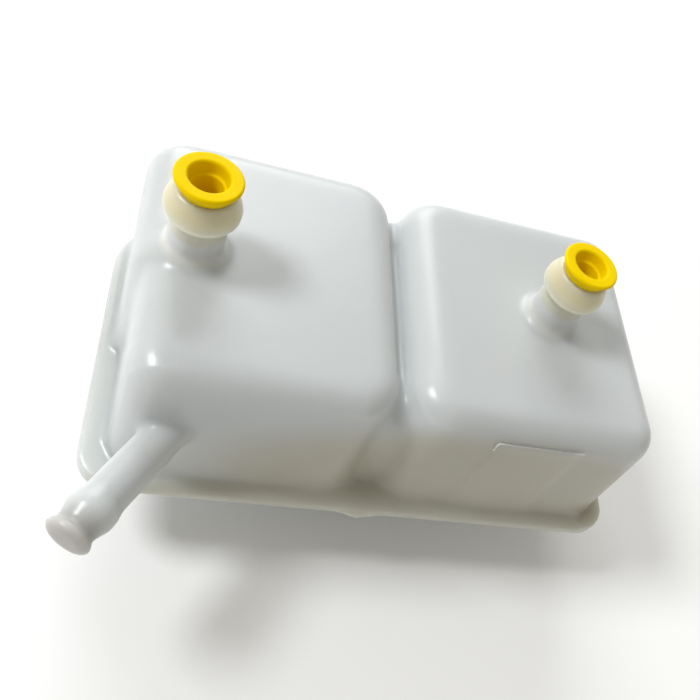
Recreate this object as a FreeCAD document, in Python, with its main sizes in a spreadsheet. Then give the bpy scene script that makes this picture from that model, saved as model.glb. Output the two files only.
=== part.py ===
import FreeCAD, Part
import os
import Sketcher

Vector = FreeCAD.Vector
Rotation = FreeCAD.Rotation
Placement = FreeCAD.Placement

doc = FreeCAD.newDocument("brake_fluid_reservoir")

# Driving dimensions in millimetres and degrees.
# The reservoir stands upside down: filler cap on the ground, outlet spigots up.
SIZES = [
    ("flange_length", 150.0), ("flange_width", 88.0), ("flange_corner", 9.0), ("flange_back_corner", 20.0),
    ("body_flange", 3.0), ("cover_flange", 2.4),
    ("ledge_width", 3.8), ("chamber_height", 46.0), ("wall", 2.2), ("draft", 1.9),
    ("corner_radius", 9.0), ("top_radius", 8.0),
    ("step_inset", 2.6), ("step_place", -5.0), ("step_lap", 12.0),
    ("panel_left", 22.0), ("panel_right", 47.0), ("panel_proud", 0.4), ("panel_drop", 6.0),
    ("panel_root", 6.6),
    ("lug_left", -8.4), ("lug_peak", -3.3), ("lug_right", 4.0), ("lug_proud", 1.2),
    ("groove_place", -2.5), ("groove_gap", 0.8), ("groove_depth", 8.0),
    ("waist_depth", 3.8), ("waist_radius", 12.0), ("waist_lap", 14.0),
    ("passage_width", 30.0), ("passage_height", 9.0), ("passage_lap", 4.4),
    ("left_spigot_place", -56.5), ("right_spigot_place", 40.0),
    ("spigot_radius", 6.7), ("spigot_bore", 5.3), ("spigot_height", 19.5),
    ("barb_radius", 8.8), ("barb_start", 11.4), ("barb_rise", 1.4), ("barb_land", 2.4),
    ("spigot_lip", 7.0), ("spigot_foot", 2.4), ("foot_hollow", 0.7),
    ("nozzle_place", -56.7), ("nozzle_level", 25.0), ("nozzle_turn", 32.0), ("nozzle_shank", 19.2),
    ("nozzle_radius", 4.9), ("nozzle_bore", 2.9), ("nozzle_end_wall", 2.0), ("nozzle_root", 10.0),
    ("nozzle_barb", 5.6), ("nozzle_barb_rise", 2.4), ("nozzle_barb_land", 2.4), ("nozzle_barb_fall", 3.2),
    ("nozzle_neck", 4.5), ("nozzle_neck_land", 0.9),
    ("nozzle_bead", 5.5), ("nozzle_bead_rise", 1.3), ("nozzle_bead_land", 0.9),
    ("nozzle_tip", 4.0), ("nozzle_tip_rise", 0.9),
    ("plug_ring_radius", 7.7), ("plug_ring", 0.9), ("plug_flare", 1.9), ("plug_neck", 0.9),
    ("plug_shoulder", 6.2), ("plug_depth", 9.0), ("plug_floor", 1.6), ("plug_edge", 0.4),
    ("plug_hole", 3.7), ("plug_mouth", 4.6), ("plug_throat", 4.3), ("plug_step", 3.2),
    ("plug_clearance", 0.08), ("plug_tip_taper", 0.6),
    ("pan_depth", 4.0), ("pan_inset", 8.0), ("pan_wall", 2.2), ("pan_corner", 12.0), ("pan_round", 1.6),
    ("neck_radius", 20.0), ("neck_wall", 2.2), ("neck_height", 17.0),
    ("rib_thickness", 1.8), ("rib_reach", 12.0), ("rib_height", 4.2), ("rib_count", 6),
    ("cap_clearance", 0.5), ("cap_wall", 2.2), ("cap_plate", 2.6), ("cap_skirt", 13.0), ("cap_edge", 1.8),
    ("cap_grip_depth", 0.9), ("cap_grip_width", 2.6), ("cap_grip_start", 3.6), ("cap_grip_count", 24),
    ("seal_thickness", 1.6), ("seal_ring", 5.0), ("seal_clearance", 0.3),
]

sheet = doc.addObject("Spreadsheet::Sheet", "Sizes")
for row, (alias, value) in enumerate(SIZES, start=1):
    sheet.set("A%d" % row, alias)
    sheet.set("B%d" % row, str(value))
    sheet.setAlias("B%d" % row, alias)

# Levels and places that follow from the driving dimensions.
DERIVED = [
    ("rim_level", "cap_plate + seal_thickness"),
    ("pan_level", "rim_level + neck_height"),
    ("flange_level", "pan_level + pan_depth"),
    ("weld_level", "flange_level + cover_flange"),
    ("ledge_level", "weld_level + body_flange"),
    ("top_level", "flange_level + chamber_height"),
    ("half_length", "flange_length / 2"),
    ("half_width", "flange_width / 2"),
    ("wall_x", "half_length - ledge_width"),
    ("wall_y", "half_width - ledge_width"),
    ("groove_left", "groove_place - groove_gap / 2"),
    ("groove_right", "groove_place + groove_gap / 2"),
    ("web_y", "wall_y - waist_depth"),
    ("web_level", "top_level - groove_depth"),
    ("spigot_level", "top_level + spigot_height"),
    ("barb_level", "top_level + barb_start"),
    ("barb_land_level", "barb_level + barb_rise"),
    ("nozzle_barb_place", "nozzle_shank + nozzle_barb_rise"),
    ("nozzle_neck_place", "nozzle_barb_place + nozzle_barb_land + nozzle_barb_fall"),
    ("nozzle_bead_place", "nozzle_neck_place + nozzle_neck_land + nozzle_bead_rise"),
    ("nozzle_reach", "nozzle_bead_place + nozzle_bead_land + nozzle_tip_rise"),
    ("plug_ring_level", "spigot_level + plug_neck + plug_flare + plug_ring"),
    ("cap_inner", "neck_radius + cap_clearance"),
    ("cap_outer", "cap_inner + cap_wall"),
    ("cap_rim_level", "cap_plate + cap_skirt"),
    ("seal_outer", "cap_inner - seal_clearance"),
]
for row, (alias, formula) in enumerate(DERIVED, start=len(SIZES) + 1):
    sheet.set("A%d" % row, alias)
    sheet.set("B%d" % row, "=" + formula)
    sheet.setAlias("B%d" % row, alias)
doc.recompute()


def size(alias):
    return float(getattr(sheet, alias))


def value(formula):
    """Number that a formula of aliases gives now."""
    return float(sheet.evalExpression(linked(formula)))


ALIASES = sorted([name for name, _ in SIZES + DERIVED], key=len, reverse=True)


def linked(formula):
    """The same formula with every alias written as a cell of the sheet."""
    words = formula.replace("(", " ( ").replace(")", " ) ").split()
    return " ".join("Sizes." + word if word in ALIASES else word for word in words)


def bind(thing, name, formula):
    thing.setExpression(name, linked(formula))


def settle(feature):
    """Recompute, and stop if the feature failed."""
    doc.recompute()
    if "Invalid" in feature.State or "Error" in feature.State or not feature.isValid():
        raise RuntimeError("%s failed" % feature.Name)
    return feature


def new_body(label):
    body = doc.addObject("PartDesign::Body", label)
    body.Label = label
    return body


def plane(body, role):
    for feature in body.Origin.OriginFeatures:
        if feature.Role == role:
            return feature


def new_sketch(body, name, role, lift="0", turn="0", shift_x="0", shift_y="0"):
    """Sketch on an origin plane; lift is along the plane's normal, turn is about it."""
    sketch = body.newObject("Sketcher::SketchObject", name)
    sketch.AttachmentSupport = [(plane(body, role), "")]
    sketch.MapMode = "FlatFace"
    bind(sketch, "AttachmentOffset.Base.x", shift_x)
    bind(sketch, "AttachmentOffset.Base.y", shift_y)
    bind(sketch, "AttachmentOffset.Base.z", lift)
    sketch.AttachmentOffset = Placement(Vector(value(shift_x), value(shift_y), value(lift)),
                                        Rotation(Vector(0, 0, 1), value(turn)))
    if turn != "0":
        bind(sketch, "AttachmentOffset.Rotation.Angle", turn)
    return sketch


# A sketch's own axes, and the length that counts as nothing.
X_AXIS = -1
Y_AXIS = -2
TINY = 1e-9


def outline(sketch, points):
    """Closed polygon whose corners are tied to formulas of the sheet."""
    corners = [Vector(value(x), value(y), 0) for x, y in points]
    count = len(corners)
    for index in range(count):
        sketch.addGeometry(Part.LineSegment(corners[index], corners[(index + 1) % count]), False)
    for index in range(count):
        sketch.addConstraint(Sketcher.Constraint("Coincident", index, 2, (index + 1) % count, 1))
    for index, (x, y) in enumerate(points):
        for kind, axis, formula in (("DistanceX", Y_AXIS, x), ("DistanceY", X_AXIS, y)):
            if abs(value(formula)) < TINY:
                sketch.addConstraint(Sketcher.Constraint("PointOnObject", index, 1, axis))
                continue
            place = sketch.addConstraint(Sketcher.Constraint(kind, -1, 1, index, 1, value(formula)))
            bind(sketch, "Constraints[%d]" % place, formula)
    return sketch


def rectangle(sketch, left, right, front, back):
    return outline(sketch, [(left, front), (right, front), (right, back), (left, back)])


def circle(sketch, radius):
    """Circle round the sketch's origin."""
    ring = Part.Circle(Vector(0, 0, 0), Vector(0, 0, 1), value(radius))
    index = sketch.addGeometry(ring, False)
    sketch.addConstraint(Sketcher.Constraint("Coincident", index, 3, -1, 1))
    place = sketch.addConstraint(Sketcher.Constraint("Radius", index, value(radius)))
    bind(sketch, "Constraints[%d]" % place, radius)
    return sketch


def pad(body, name, sketch, length, taper=None, down=False):
    feature = body.newObject("PartDesign::Pad", name)
    feature.Profile = sketch
    feature.Reversed = down
    bind(feature, "Length", length)
    if taper:
        bind(feature, "TaperAngle", taper)
    return settle(feature)


def pocket(body, name, sketch, length, taper=None, up=False):
    before = body.Shape.Volume
    feature = body.newObject("PartDesign::Pocket", name)
    feature.Profile = sketch
    feature.Reversed = up
    bind(feature, "Length", length)
    if taper:
        bind(feature, "TaperAngle", taper)
    settle(feature)
    if body.Shape.Volume >= before:
        raise RuntimeError(name + " cuts nothing")
    return feature


def turned(body, name, sketch, axis="V_Axis", cut=False):
    before = body.Shape.Volume if body.Tip else 0.0
    feature = body.newObject("PartDesign::Groove" if cut else "PartDesign::Revolution", name)
    feature.Profile = sketch
    feature.ReferenceAxis = (sketch, [axis])
    feature.Angle = 360.0
    settle(feature)
    if cut and body.Shape.Volume >= before:
        raise RuntimeError(name + " cuts nothing")
    return feature


def repeat(body, name, feature, sketch, count):
    """Copies of a feature, evenly round the origin of its sketch."""
    pattern = body.newObject("PartDesign::PolarPattern", name)
    pattern.Originals = [feature]
    pattern.Axis = (sketch, ["N_Axis"])
    pattern.Angle = 360.0
    bind(pattern, "Occurrences", count)
    body.Tip = pattern
    return settle(pattern)


def hollow_out(body, name, cores):
    """Take the cores away from the body."""
    before = body.Shape.Volume
    feature = body.newObject("PartDesign::Boolean", name)
    feature.setObjects(cores)
    feature.Type = "Cut"
    settle(feature)
    if body.Shape.Volume >= before:
        raise RuntimeError(name + " cuts nothing")
    return feature


def join(body, name, blocks):
    """Fuse the blocks to the body."""
    feature = body.newObject("PartDesign::Boolean", name)
    feature.setObjects(blocks)
    feature.Type = "Fuse"
    return settle(feature)


def edge_names(shape, test):
    return ["Edge%d" % (index + 1) for index, edge in enumerate(shape.Edges) if test(edge)]


def rounded(body, name, test, radius):
    base = body.Tip
    names = edge_names(base.Shape, test)
    if not names:
        raise RuntimeError(name + " finds no edge")
    feature = body.newObject("PartDesign::Fillet", name)
    feature.Base = (base, names)
    bind(feature, "Radius", radius)
    return settle(feature)


# Tolerances for finding edges: how near a level, how far drafted edges stray from a seam.
NEAR = 0.01
SEAM_REACH = 2.0
FAR_AWAY = 1e6


def spans(edge, low, high):
    """True for an edge that climbs from one level to the other."""
    box = edge.BoundBox
    return abs(box.ZMin - low) < NEAR and abs(box.ZMax - high) < NEAR


def at_level(edge, level):
    box = edge.BoundBox
    return abs(box.ZMin - level) < NEAR and abs(box.ZMax - level) < NEAR


def flange_plate(owner, name, bottom, top):
    """One half of the weld flange, with wider rounds at its back corners."""
    plan = new_sketch(owner, name + "_outline", "XY_Plane", bottom)
    rectangle(plan, "0 - half_length", "half_length", "0 - half_width", "half_width")
    pad(owner, name, plan, top + " - " + bottom)

    def is_back_corner(edge):
        return spans(edge, size(bottom), size(top)) and edge.BoundBox.YMin > 0

    def is_front_corner(edge):
        return spans(edge, size(bottom), size(top)) and edge.BoundBox.YMax < 0

    rounded(owner, name + "_back_corners", is_back_corner, "flange_back_corner")
    rounded(owner, name + "_front_corners", is_front_corner, "flange_corner")


# Reservoir body: one moulding with two drafted chambers, a weld flange, spigots and a hose nozzle.
body = new_body("reservoir_body")
flange_plate(body, "flange", "weld_level", "ledge_level")

# Each block of a chamber: its ends in plan, and the end inside the next block, whose edges stay sharp.
BLOCKS = [
    ("left_back", "0 - wall_x", "groove_left", "step_place", "wall_y", "front"),
    ("left_front", "step_inset - wall_x", "groove_left", "0 - wall_y", "step_place + step_lap", "back"),
    ("right", "groove_right", "wall_x", "0 - wall_y", "wall_y", None),
]


def chamber_block(name, ends, seam, inset, bottom, top):
    """Drafted block with rounded corners and top edges; inset draws every side in by that much."""
    low_x, high_x, front, back = ends
    block = new_body(name)
    plan = new_sketch(block, name + "_plan", "XY_Plane", bottom)
    front_side = front + " + " + inset
    back_side = back + " - " + inset
    rectangle(plan, low_x + " + " + inset, high_x + " - " + inset, front_side, back_side)
    pad(block, name + "_pad", plan, top + " - ( " + bottom + " )", "0 - draft")
    seam_level = {"front": value(front_side), "back": value(back_side), None: FAR_AWAY}[seam]

    def is_seam(edge):
        box = edge.BoundBox
        return abs(box.YMin - seam_level) < SEAM_REACH and abs(box.YMax - seam_level) < SEAM_REACH

    def is_corner(edge):
        return spans(edge, value(bottom), value(top)) and not is_seam(edge)

    def near_groove(edge):
        return abs(edge.BoundBox.Center.x - size("groove_place")) < size("waist_radius")

    def is_outer_corner(edge):
        return is_corner(edge) and not near_groove(edge)

    def is_waist_corner(edge):
        return is_corner(edge) and near_groove(edge)

    def is_top_edge(edge):
        return at_level(edge, value(top)) and not is_seam(edge)

    rounded(block, name + "_corners", is_outer_corner, "corner_radius - " + inset)
    rounded(block, name + "_waist", is_waist_corner, "waist_radius - " + inset)
    rounded(block, name + "_top", is_top_edge, "top_radius - " + inset)
    return block


def chamber_blocks(suffix, inset, bottom, top):
    return [chamber_block(name + suffix, ends, seam, inset, bottom, top) for name, *ends, seam in BLOCKS]


join(body, "chambers", chamber_blocks("_block", "0", "ledge_level", "top_level"))


def is_waist_top(edge):
    return at_level(edge, size("web_level")) and edge.BoundBox.XLength > NEAR


waist = new_body("waist_block")
web = new_sketch(waist, "waist_plan", "XY_Plane", "ledge_level")
rectangle(web, "groove_left - waist_lap", "groove_right + waist_lap", "0 - web_y", "web_y")
pad(waist, "waist_pad", web, "web_level - ledge_level", "0 - draft")
rounded(waist, "waist_top", is_waist_top, "top_radius")
join(body, "waist", [waist])

panel = new_sketch(body, "panel_plan", "XY_Plane", "ledge_level")
rectangle(panel, "panel_left", "panel_right", "0 - wall_y - panel_proud", "panel_root - wall_y")
pad(body, "panel", panel, "top_level - panel_drop - ledge_level", "0 - draft")

NOZZLE_PROFILE = [
    ("0 - nozzle_root", "0"),
    ("0 - nozzle_root", "nozzle_radius"),
    ("nozzle_shank", "nozzle_radius"),
    ("nozzle_barb_place", "nozzle_barb"),
    ("nozzle_barb_place + nozzle_barb_land", "nozzle_barb"),
    ("nozzle_neck_place", "nozzle_neck"),
    ("nozzle_neck_place + nozzle_neck_land", "nozzle_neck"),
    ("nozzle_bead_place", "nozzle_bead"),
    ("nozzle_bead_place + nozzle_bead_land", "nozzle_bead"),
    ("nozzle_reach", "nozzle_tip"),
    ("nozzle_reach", "0"),
]
NOZZLE_BORE = [
    ("0 - nozzle_root", "0"),
    ("0 - nozzle_root", "nozzle_bore"),
    ("nozzle_reach - nozzle_end_wall", "nozzle_bore"),
    ("nozzle_reach - nozzle_end_wall", "0"),
]


def nozzle_turned(name, profile, cut):
    """Profile turned about the nozzle's axis, which leaves the front wall at an angle."""
    sketch = new_sketch(body, name + "_profile", "XY_Plane", "flange_level + nozzle_level",
                        "270 - nozzle_turn", "nozzle_place", "0 - wall_y")
    outline(sketch, profile)
    turned(body, name, sketch, "H_Axis", cut)


nozzle_turned("nozzle", NOZZLE_PROFILE, cut=False)

# Mould cores: the hollow of each chamber, one wall inside its outside.
hollow_out(body, "hollowed", chamber_blocks("_core", "wall", "weld_level", "top_level - wall"))

passage = new_sketch(body, "passage_outline", "XY_Plane", "weld_level")
rectangle(passage, "groove_left - passage_lap", "groove_right + passage_lap",
          "0 - passage_width / 2", "passage_width / 2")
pocket(body, "passage", passage, "passage_height", up=True)

SPIGOT_PROFILE = [
    ("0", "top_level - wall / 2"),
    ("spigot_radius + spigot_foot", "top_level - wall / 2"),
    ("spigot_radius + spigot_foot", "top_level"),
    ("spigot_radius + foot_hollow", "top_level + foot_hollow"),
    ("spigot_radius", "top_level + spigot_foot"),
    ("spigot_radius", "barb_level"),
    ("barb_radius", "barb_land_level"),
    ("barb_radius", "barb_land_level + barb_land"),
    ("spigot_lip", "spigot_level"),
    ("0", "spigot_level"),
]
SPIGOTS = [("left", "left_spigot_place"), ("right", "right_spigot_place")]
for side, place in SPIGOTS:
    spigot = new_sketch(body, side + "_spigot_profile", "XZ_Plane", shift_x=place)
    outline(spigot, SPIGOT_PROFILE)
    turned(body, side + "_spigot", spigot)
    bore = new_sketch(body, side + "_spigot_bore_outline", "XY_Plane", "spigot_level", shift_x=place)
    circle(bore, "spigot_bore")
    pocket(body, side + "_spigot_bore", bore, "spigot_height + 2 * wall")

nozzle_turned("nozzle_bore", NOZZLE_BORE, cut=True)

# Cover: welded lid with a shallow pan and the filler neck.
cover = new_body("reservoir_cover")
flange_plate(cover, "lid", "flange_level", "weld_level")
LUG_OUTLINE = [
    ("lug_left", "0 - half_width"),
    ("lug_peak", "0 - half_width - lug_proud"),
    ("lug_right", "0 - half_width"),
    ("lug_right", "wall - half_width"),
    ("lug_left", "wall - half_width"),
]
lug = new_sketch(cover, "lug_outline", "XY_Plane", "flange_level")
outline(lug, LUG_OUTLINE)
pad(cover, "lug", lug, "cover_flange")
pan = new_sketch(cover, "pan_outline", "XY_Plane", "pan_level")
rectangle(pan, "pan_inset - half_length", "half_length - pan_inset",
          "pan_inset - half_width", "half_width - pan_inset")
pad(cover, "pan", pan, "pan_depth")
PAN_LEVEL = size("pan_level")
rounded(cover, "pan_corners", lambda edge: spans(edge, PAN_LEVEL, size("flange_level")), "pan_corner")
rounded(cover, "pan_edge", lambda edge: at_level(edge, PAN_LEVEL), "pan_round")
tray = new_body("tray_core")
hollow = new_sketch(tray, "tray_outline", "XY_Plane", "pan_level + pan_wall")
rectangle(hollow, "pan_inset + pan_wall - half_length", "half_length - pan_inset - pan_wall",
          "pan_inset + pan_wall - half_width", "half_width - pan_inset - pan_wall")
pad(tray, "tray_block", hollow, "weld_level - pan_level - pan_wall")
TRAY_FLOOR = value("pan_level + pan_wall")
TRAY_RIM = size("weld_level")
rounded(tray, "tray_corners", lambda edge: spans(edge, TRAY_FLOOR, TRAY_RIM), "pan_corner - pan_wall")
hollow_out(cover, "tray", [tray])
neck = new_sketch(cover, "neck_outline", "XY_Plane", "rim_level")
circle(neck, "neck_radius")
pad(cover, "neck", neck, "neck_height + pan_wall / 2")
filler = new_sketch(cover, "filler_outline", "XY_Plane", "rim_level")
circle(filler, "neck_radius - neck_wall")
pocket(cover, "filler_hole", filler, "neck_height + pan_depth + cover_flange", up=True)

gusset = new_sketch(cover, "rib_outline", "XY_Plane", "pan_level")
rectangle(gusset, "neck_radius - neck_wall / 2", "neck_radius + rib_reach",
          "0 - rib_thickness / 2", "rib_thickness / 2")
neck_rib = pad(cover, "neck_rib", gusset, "rib_height", "0 - draft", down=True)
repeat(cover, "neck_ribs", neck_rib, gusset, "rib_count")

# Filler cap with a ribbed grip and its seal.
cap = new_body("filler_cap")
CAP_PROFILE = [
    ("0", "0"),
    ("cap_outer - cap_edge", "0"),
    ("cap_outer", "cap_edge"),
    ("cap_outer", "cap_rim_level"),
    ("cap_inner", "cap_rim_level"),
    ("cap_inner", "cap_plate"),
    ("0", "cap_plate"),
]
cup = new_sketch(cap, "cap_profile", "XZ_Plane")
outline(cup, CAP_PROFILE)
turned(cap, "cap_cup", cup)
grip = new_sketch(cap, "grip_outline", "XY_Plane", "cap_grip_start")
rectangle(grip, "cap_outer - cap_wall / 2", "cap_outer + cap_grip_depth",
          "0 - cap_grip_width / 2", "cap_grip_width / 2")
rib = pad(cap, "grip_rib", grip, "cap_rim_level - cap_grip_start")
repeat(cap, "grip_ribs", rib, grip, "cap_grip_count")

seal = new_body("cap_seal")
gasket = new_sketch(seal, "seal_profile", "XZ_Plane")
rectangle(gasket, "seal_outer - seal_ring", "seal_outer", "cap_plate", "rim_level")
turned(seal, "seal_ring_turned", gasket)

# Transport plugs: hollow, pushed into the outlet spigots.
PLUG_PROFILE = [
    ("0", "spigot_level - plug_depth"),
    ("spigot_bore - plug_clearance - plug_tip_taper", "spigot_level - plug_depth"),
    ("spigot_bore - plug_clearance", "spigot_level - plug_depth / 2"),
    ("spigot_bore - plug_clearance", "spigot_level"),
    ("plug_shoulder", "spigot_level"),
    ("plug_shoulder", "spigot_level + plug_neck"),
    ("plug_ring_radius", "plug_ring_level - plug_ring"),
    ("plug_ring_radius", "plug_ring_level - plug_edge"),
    ("plug_ring_radius - plug_edge", "plug_ring_level"),
    ("plug_mouth + plug_edge", "plug_ring_level"),
    ("plug_mouth", "plug_ring_level - plug_edge"),
    ("plug_throat", "plug_ring_level - plug_step"),
    ("plug_hole", "plug_ring_level - plug_step"),
    ("plug_hole", "spigot_level - plug_depth + plug_floor"),
    ("0", "spigot_level - plug_depth + plug_floor"),
]
plugs = []
for side, place in SPIGOTS:
    plug = new_body("outlet_plug_" + side)
    stopper = new_sketch(plug, side + "_plug_profile", "XZ_Plane", shift_x=place)
    outline(stopper, PLUG_PROFILE)
    turned(plug, side + "_plug", stopper)
    plugs.append(plug)

doc.recompute()
for thing in doc.Objects:
    if "Invalid" in thing.State or "Error" in thing.State:
        raise RuntimeError("%s failed: %s" % (thing.Name, thing.State))

SUB_PARTS = [body, cover, cap, seal] + plugs
os.makedirs("parts", exist_ok=True)
for part in SUB_PARTS:
    if part.Shape.isNull() or not part.Shape.isValid() or len(part.Shape.Solids) != 1:
        raise RuntimeError(part.Label + " is not one sound solid")
for part in SUB_PARTS:
    part.Shape.exportStep("parts/%s.step" % part.Label)
    box = part.Shape.BoundBox
    print("%-18s volume %.0f" % (part.Label, part.Shape.Volume),
          "length %.1f  width %.1f  height %.1f" % (box.XLength, box.YLength, box.ZLength))
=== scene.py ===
import math

import bmesh
import bpy
from mathutils import Matrix, Vector


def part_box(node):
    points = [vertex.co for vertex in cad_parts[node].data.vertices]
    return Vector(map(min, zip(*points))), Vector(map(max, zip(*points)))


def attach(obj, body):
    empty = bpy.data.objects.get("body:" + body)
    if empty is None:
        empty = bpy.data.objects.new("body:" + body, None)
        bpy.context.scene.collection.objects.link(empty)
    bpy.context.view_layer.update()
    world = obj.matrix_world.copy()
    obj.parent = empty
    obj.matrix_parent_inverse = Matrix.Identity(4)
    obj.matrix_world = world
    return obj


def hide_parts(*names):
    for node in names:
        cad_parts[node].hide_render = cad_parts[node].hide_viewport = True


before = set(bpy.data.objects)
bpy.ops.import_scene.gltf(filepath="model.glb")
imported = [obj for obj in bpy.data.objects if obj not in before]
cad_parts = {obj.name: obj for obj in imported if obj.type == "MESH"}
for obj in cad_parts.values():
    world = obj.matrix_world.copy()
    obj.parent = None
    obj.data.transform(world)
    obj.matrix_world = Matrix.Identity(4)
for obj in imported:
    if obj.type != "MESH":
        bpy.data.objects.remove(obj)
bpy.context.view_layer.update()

MM = 0.001

# Camera: place, aim, roll and focal length of the photograph's view, in metres and image pixels.
IMAGE_SIZE = 700.0
CAMERA_PLACE = Vector((-65.8, -131.6, 219.5)) * MM
CAMERA_AIM = Vector((13.2, -6.8, 50.2)) * MM
CAMERA_ROLL = 0.61
FOCAL_PIXELS = 792.8
CENTRE_PIXEL = (434.0, 362.7)
SENSOR_WIDTH = 36.0
CLIP_START = 10.0 * MM

# Lights: place, width, power and colour of each lamp, then the even light all round, and the floor's side.
KEY_LIGHT = ((-0.80, 0.12, 1.0), 0.38, 10.0, (0.97, 0.99, 1.0))
BACK_LIGHT = ((-0.1, 1.2, 0.9), 1.0, 12.0, (0.95, 0.98, 1.0))
STUDIO_COLOUR = (1.0, 0.965, 0.89, 1.0)
STUDIO_STRENGTH = 0.43
FLOOR_SIDE = 6.0

# Skins: voxel sizes, smoothing rounds and the share of triangles kept.
TANK_VOXEL = 0.62 * MM
CAP_VOXEL = 0.45 * MM
PLUG_VOXEL = 0.22 * MM
SMOOTH_FACTOR = 0.5
FINE_ROUNDS = 2
BROAD_ROUNDS = 9
TANK_SHARE = 0.33

# Tank: levels and places that the skin and its finish follow, and the panel rim's path in millimetres.
FLANGE_FRONT = -44.0 * MM
SPIGOT_HEIGHT = 19.5 * MM
SPIGOT_FOOT = 2.4 * MM
BAND_HEIGHT = 10.4 * MM
TOP_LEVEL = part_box("reservoir_body")[1].z - SPIGOT_HEIGHT
PLUGS = ("outlet_plug_left", "outlet_plug_right")
PANEL_RIM = 0.3 * MM
PANEL_PATH = [(22.0, -39.7, 62.4), (22.0, -39.5, 64.6), (22.6, -39.3, 65.2), (47.0, -39.3, 65.2)]


def add_camera():
    """Camera turned as the photograph was taken."""
    data = bpy.data.cameras.new("photo_camera")
    camera = bpy.data.objects.new("photo_camera", data)
    bpy.context.scene.collection.objects.link(camera)
    forward = (CAMERA_AIM - CAMERA_PLACE).normalized()
    right = forward.cross(Vector((0, 0, 1))).normalized()
    down = forward.cross(right)
    turned_right = math.cos(CAMERA_ROLL) * right - math.sin(CAMERA_ROLL) * down
    turned_down = math.sin(CAMERA_ROLL) * right + math.cos(CAMERA_ROLL) * down
    axes = Matrix((turned_right, -turned_down, -forward)).transposed()
    camera.matrix_world = Matrix.Translation(CAMERA_PLACE) @ axes.to_4x4()
    data.sensor_width = SENSOR_WIDTH
    data.lens = FOCAL_PIXELS * SENSOR_WIDTH / IMAGE_SIZE
    data.shift_x = (IMAGE_SIZE / 2 - CENTRE_PIXEL[0]) / IMAGE_SIZE
    data.shift_y = (CENTRE_PIXEL[1] - IMAGE_SIZE / 2) / IMAGE_SIZE
    data.clip_start = CLIP_START
    bpy.context.scene.camera = camera


def area_light(name, place, size, power, colour):
    data = bpy.data.lights.new(name, "AREA")
    data.shape = "DISK"
    data.size = size
    data.energy = power
    data.color = colour
    light = bpy.data.objects.new(name, data)
    light.location = place
    direction = Vector((0, 0, TOP_LEVEL)) - Vector(place)
    light.rotation_euler = direction.to_track_quat("-Z", "Y").to_euler()
    bpy.context.scene.collection.objects.link(light)


def add_lights():
    area_light("key_light", *KEY_LIGHT)
    area_light("back_light", *BACK_LIGHT)
    world = bpy.data.worlds.new("studio")
    world.use_nodes = True
    background = world.node_tree.nodes["Background"]
    background.inputs["Color"].default_value = STUDIO_COLOUR
    background.inputs["Strength"].default_value = STUDIO_STRENGTH
    bpy.context.scene.world = world
    bpy.context.scene.view_settings.view_transform = "Standard"


class Finish:
    """A material and the node tree it is made in."""

    def __init__(self, name):
        self.material = bpy.data.materials.new(name)
        self.material.use_nodes = True
        self.nodes = self.material.node_tree.nodes
        self.links = self.material.node_tree.links
        self.shader = self.nodes["Principled BSDF"]

    def noise(self, scale, detail):
        place = self.nodes.new("ShaderNodeTexCoord")
        texture = self.nodes.new("ShaderNodeTexNoise")
        texture.inputs["Scale"].default_value = scale
        texture.inputs["Detail"].default_value = detail
        self.links.new(place.outputs["Object"], texture.inputs["Vector"])
        return texture.outputs["Fac"]

    def mottle(self, scale, detail, dark, light):
        """Colour that wanders softly between two tones."""
        ramp = self.nodes.new("ShaderNodeValToRGB")
        self.links.new(self.noise(scale, detail), ramp.inputs["Fac"])
        for stop, position, colour in zip(ramp.color_ramp.elements, (0.2, 0.8), (dark, light)):
            stop.position = position
            stop.color = (*colour, 1)
        return ramp.outputs["Color"]

    def near_point(self, centre, reach, inner):
        """1 inside an ellipsoid round a point of the object, fading to 0 at its reach."""
        place = self.nodes.new("ShaderNodeTexCoord")
        shift = self.nodes.new("ShaderNodeVectorMath")
        shift.operation = "SUBTRACT"
        shift.inputs[1].default_value = centre
        self.links.new(place.outputs["Object"], shift.inputs[0])
        scale = self.nodes.new("ShaderNodeVectorMath")
        scale.operation = "DIVIDE"
        scale.inputs[1].default_value = reach
        self.links.new(shift.outputs[0], scale.inputs[0])
        length = self.nodes.new("ShaderNodeVectorMath")
        length.operation = "LENGTH"
        self.links.new(scale.outputs[0], length.inputs[0])
        fade = self.nodes.new("ShaderNodeMapRange")
        fade.interpolation_type = "SMOOTHSTEP"
        fade.inputs["From Min"].default_value = 1.0
        fade.inputs["From Max"].default_value = inner
        self.links.new(length.outputs["Value"], fade.inputs["Value"])
        return fade.outputs["Result"]

    def tint(self, below, centre, reach, inner, colour):
        """The colour below, turned into another one near a point."""
        node = self.nodes.new("ShaderNodeMix")
        node.data_type = "RGBA"
        self.links.new(self.near_point(centre, reach, inner), node.inputs["Factor"])
        self.links.new(below, node.inputs["A"])
        node.inputs["B"].default_value = (*colour, 1)
        return node.outputs["Result"]

    def scatter(self, weight, radius, scale):
        self.shader.inputs["Subsurface Weight"].default_value = weight
        self.shader.inputs["Subsurface Radius"].default_value = radius
        self.shader.inputs["Subsurface Scale"].default_value = scale

    def gloss(self, scale, detail, low, high):
        """Roughness that wanders between two values."""
        self.links.new(self.mottle(scale, detail, [low] * 3, [high] * 3), self.shader.inputs["Roughness"])

    def grain(self, scale, detail, strength, depth):
        node = self.nodes.new("ShaderNodeBump")
        node.inputs["Strength"].default_value = strength
        node.inputs["Distance"].default_value = depth
        self.links.new(self.noise(scale, detail), node.inputs["Height"])
        self.links.new(node.outputs["Normal"], self.shader.inputs["Normal"])

    def paint(self, colour):
        self.links.new(colour, self.shader.inputs["Base Color"])


# Tones where the plug shows through a spigot: on its column, mixed with painted light that lifts the barb's
# shadow; on its barb; and in a band below the barb, mixed with painted shade under the barb's edge.
COLUMN_PLUG_AND_LIGHT_TONE = (0.99, 0.97, 0.82)
BARB_TONE = (0.67, 0.60, 0.39)
BAND_PLUG_AND_SHADE_TONE = (0.86, 0.79, 0.55)
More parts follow.
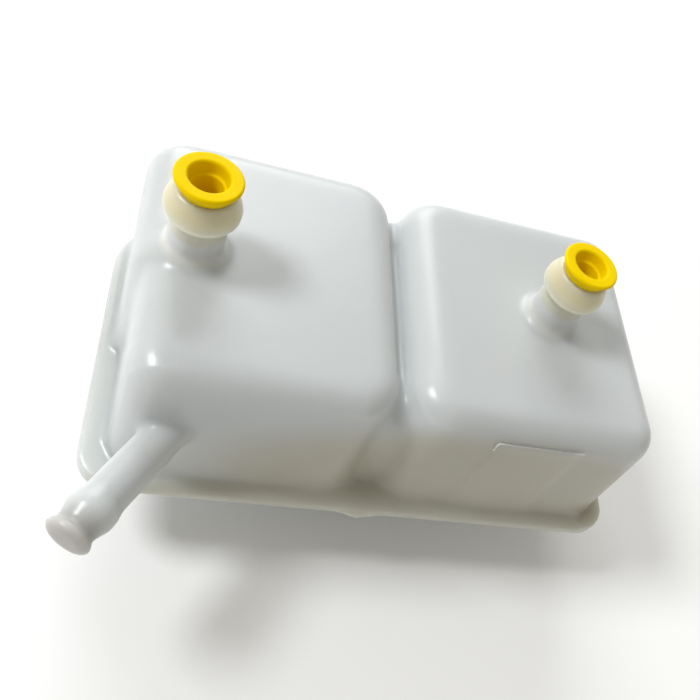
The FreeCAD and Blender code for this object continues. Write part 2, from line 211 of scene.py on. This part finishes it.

# Painted shade, darker and warmer: on the front and right walls, which face away from the key light, along
# the weld flange's front and left ledge, and at the nozzle's sealed tip.
WALL_SHADE_TONE = (0.455, 0.435, 0.36)
FLANGE_SHADE_TONE = (0.435, 0.43, 0.375)
LEDGE_SHADE_TONE = (0.47, 0.485, 0.475)
TIP_SHADE_TONE = (0.37, 0.35, 0.33)
# Where the tones lie: centre and reach in millimetres, then the share of the reach that is fully toned.
TANK_PAINTED_SHADE = [
    # Painted shade on the front walls.
    ((30, -50, 40), (105, 22, 38), 0.7, WALL_SHADE_TONE),
    # Painted shade on the right end wall.
    ((79, -5, 38), (20, 90, 37), 0.6, WALL_SHADE_TONE),
    # Painted shade along the left flange ledge.
    ((-78, 0, 27), (14, 60, 10), 0.3, LEDGE_SHADE_TONE),
    # Painted shade along the weld flange's front.
    ((10, -46, 26), (130, 10, 10), 0.5, FLANGE_SHADE_TONE),
    # Painted shade at the nozzle's sealed tip.
    ((-74, -68, 50), (13, 13, 13), 0.2, TIP_SHADE_TONE),
]


def spigot_tints_and_painted_light(plug):
    """Tones of the spigot that holds the plug, placed like the tank's: the plug showing through, with painted
    light on the column and painted shade below the barb.
    """
    low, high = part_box(plug)
    middle = (low + high) / (2 * MM)
    plug_foot = low.z / MM
    band = (TOP_LEVEL + BAND_HEIGHT) / MM
    return [
        # Painted light on the column in the barb's shadow, cream where the plug shows through.
        ((middle.x, middle.y, plug_foot - 3.0), (16.0, 16.0, 9.0), 0.6, COLUMN_PLUG_AND_LIGHT_TONE),
        ((middle.x, middle.y, plug_foot + 5.5), (11.0, 11.0, 7.0), 0.7, BARB_TONE),
        # Painted shade under the barb's edge, cream where the plug's tip shows through.
        ((middle.x, middle.y, band), (40.0, 40.0, 4.5), 0.4, BAND_PLUG_AND_SHADE_TONE),
    ]


def natural_plastic():
    """Milky translucent moulding, with painted shade on its walls and flange and painted light on its spigot
    columns.
    """
    finish = Finish("natural_plastic")
    colour = finish.mottle(14.0, 1.0, (0.565, 0.59, 0.59), (0.585, 0.61, 0.61))
    tints = TANK_PAINTED_SHADE + [tint for plug in PLUGS for tint in spigot_tints_and_painted_light(plug)]
    for centre, reach, inner, tone in tints:
        colour = finish.tint(colour, Vector(centre) * MM, Vector(reach) * MM, inner, tone)
    finish.paint(colour)
    finish.scatter(1.0, (1.0, 0.97, 0.9), 9.0 * MM)
    finish.gloss(60.0, 2.0, 0.27, 0.33)
    finish.grain(110.0, 2.0, 0.06, 0.2 * MM)
    return finish.material


def cap_plastic():
    finish = Finish("cap_plastic")
    finish.paint(finish.mottle(60.0, 2.0, (0.53, 0.55, 0.54), (0.57, 0.59, 0.58)))
    finish.scatter(0.6, (1.0, 0.97, 0.88), 3.0 * MM)
    finish.gloss(200.0, 3.0, 0.34, 0.42)
    finish.grain(500.0, 3.0, 0.1, 0.1 * MM)
    return finish.material


def plug_plastic():
    finish = Finish("plug_plastic")
    finish.paint(finish.mottle(150.0, 3.0, (0.79, 0.56, 0.0), (0.83, 0.60, 0.0)))
    finish.scatter(0.25, (1.0, 0.6, 0.05), 1.5 * MM)
    finish.shader.inputs["Specular IOR Level"].default_value = 0.08
    finish.shader.inputs["Specular Tint"].default_value = (1.0, 0.8, 0.1, 1.0)
    finish.gloss(400.0, 4.0, 0.42, 0.52)
    finish.grain(900.0, 3.0, 0.12, 0.05 * MM)
    return finish.material


def seal_rubber():
    finish = Finish("seal_rubber")
    finish.paint(finish.mottle(300.0, 4.0, (0.015, 0.015, 0.015), (0.03, 0.03, 0.03)))
    finish.gloss(600.0, 3.0, 0.6, 0.75)
    finish.grain(1200.0, 3.0, 0.2, 0.05 * MM)
    return finish.material


def floor_paper():
    finish = Finish("floor_paper")
    finish.paint(finish.mottle(3.0, 1.0, (0.93, 0.93, 0.93), (0.95, 0.95, 0.95)))
    finish.gloss(40.0, 2.0, 0.85, 0.95)
    return finish.material


def add_floor():
    bpy.ops.mesh.primitive_plane_add(size=FLOOR_SIDE, location=(0, 0, 0))
    floor = bpy.context.object
    floor.name = "floor"
    floor.data.materials.append(floor_paper())


def remeshed(nodes, voxel):
    """The nodes' surfaces joined into one closed, evenly fine mesh."""
    joined = bmesh.new()
    for node in nodes:
        joined.from_mesh(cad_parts[node].data)
    mesh = bpy.data.meshes.new("draft")
    joined.to_mesh(mesh)
    joined.free()
    draft = bpy.data.objects.new("draft", mesh)
    bpy.context.scene.collection.objects.link(draft)
    remesh = draft.modifiers.new("remesh", "REMESH")
    remesh.mode = "VOXEL"
    remesh.voxel_size = voxel
    graph = bpy.context.evaluated_depsgraph_get()
    fine = bpy.data.meshes.new_from_object(draft.evaluated_get(graph))
    bpy.data.objects.remove(draft)
    return fine


def smoothed(mesh, rounds, chosen):
    """Rounds off the edges among the vertices that the test chooses."""
    shape = bmesh.new()
    shape.from_mesh(mesh)
    vertices = [vertex for vertex in shape.verts if chosen(vertex.co)]
    for _ in range(rounds):
        bmesh.ops.smooth_vert(shape, verts=vertices, factor=SMOOTH_FACTOR,
                              use_axis_x=True, use_axis_y=True, use_axis_z=True)
    shape.to_mesh(mesh)
    shape.free()


def everywhere(place):
    return True


def on_chambers(place):
    """True away from the spigots and the nozzle, whose edges are crisper."""
    return place.z < TOP_LEVEL + SPIGOT_FOOT and place.y > FLANGE_FRONT - MM


# Places where walls run into each other in a wide, soft curve: two corners in millimetres, then rounds.
BLENDS = [
    ((-72.5, -34, 30), (-56, 44, 74), 25),
    ((-72.5, -28, 31.5), (-60, 38, 70), 35),
    ((-72.5, -22, 33), (-62, 30, 66), 90),
    ((-22, -46, 29), (16, -22, 66), 40),
    ((-22, 22, 29), (16, 46, 66), 40),
    ((-60, -46, 29), (66, -37, 37), 40),
]


def inside(lowest, highest):
    """Test for a place between two corners."""
    low = Vector(lowest) * MM
    high = Vector(highest) * MM

    def between(place):
        return low.x < place.x < high.x and low.y < place.y < high.y and low.z < place.z < high.z

    return between


def wear(name, mesh, nodes, body, material):
    """Shows the mesh in place of the nodes."""
    mesh.name = name
    mesh.materials.clear()
    mesh.materials.append(material)
    mesh.polygons.foreach_set("use_smooth", [True] * len(mesh.polygons))
    piece = bpy.data.objects.new(name, mesh)
    bpy.context.scene.collection.objects.link(piece)
    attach(piece, body)
    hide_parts(*nodes)
    return piece


def add_panel_rim(material):
    """Fine raised rim along the top of the front wall's panel."""
    curve = bpy.data.curves.new("panel_rim", "CURVE")
    curve.dimensions = "3D"
    curve.bevel_depth = PANEL_RIM
    curve.use_fill_caps = True
    line = curve.splines.new("POLY")
    line.points.add(len(PANEL_PATH) - 1)
    for point, place in zip(line.points, PANEL_PATH):
        point.co = (*(Vector(place) * MM), 1)
    curve.materials.append(material)
    rim = bpy.data.objects.new("panel_rim", curve)
    bpy.context.scene.collection.objects.link(rim)
    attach(rim, "reservoir")


def add_tank():
    """Body and cover welded into one smooth tank."""
    nodes = ["reservoir_body", "reservoir_cover"]
    mesh = remeshed(nodes, TANK_VOXEL)
    smoothed(mesh, FINE_ROUNDS, everywhere)
    smoothed(mesh, BROAD_ROUNDS, on_chambers)
    for lowest, highest, rounds in BLENDS:
        smoothed(mesh, rounds, inside(lowest, highest))
    material = natural_plastic()
    tank = wear("tank_skin", mesh, nodes, "reservoir", material)
    reduce = tank.modifiers.new("reduce", "DECIMATE")
    reduce.ratio = TANK_SHARE
    add_panel_rim(material)


def add_small_skin(node, body, voxel, material):
    """One node shown as a fine skin with rounded edges."""
    mesh = remeshed([node], voxel)
    smoothed(mesh, FINE_ROUNDS, everywhere)
    wear(node + "_skin", mesh, [node], body, material)


def dress(node, material):
    """One node shown as it is, in a finish of its own."""
    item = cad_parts[node]
    item.data.materials.clear()
    item.data.materials.append(material)


add_camera()
add_lights()
add_floor()
add_tank()
add_small_skin("filler_cap", "cap", CAP_VOXEL, cap_plastic())
plug_finish = plug_plastic()
for plug in PLUGS:
    add_small_skin(plug, "reservoir", PLUG_VOXEL, plug_finish)
dress("cap_seal", seal_rubber())
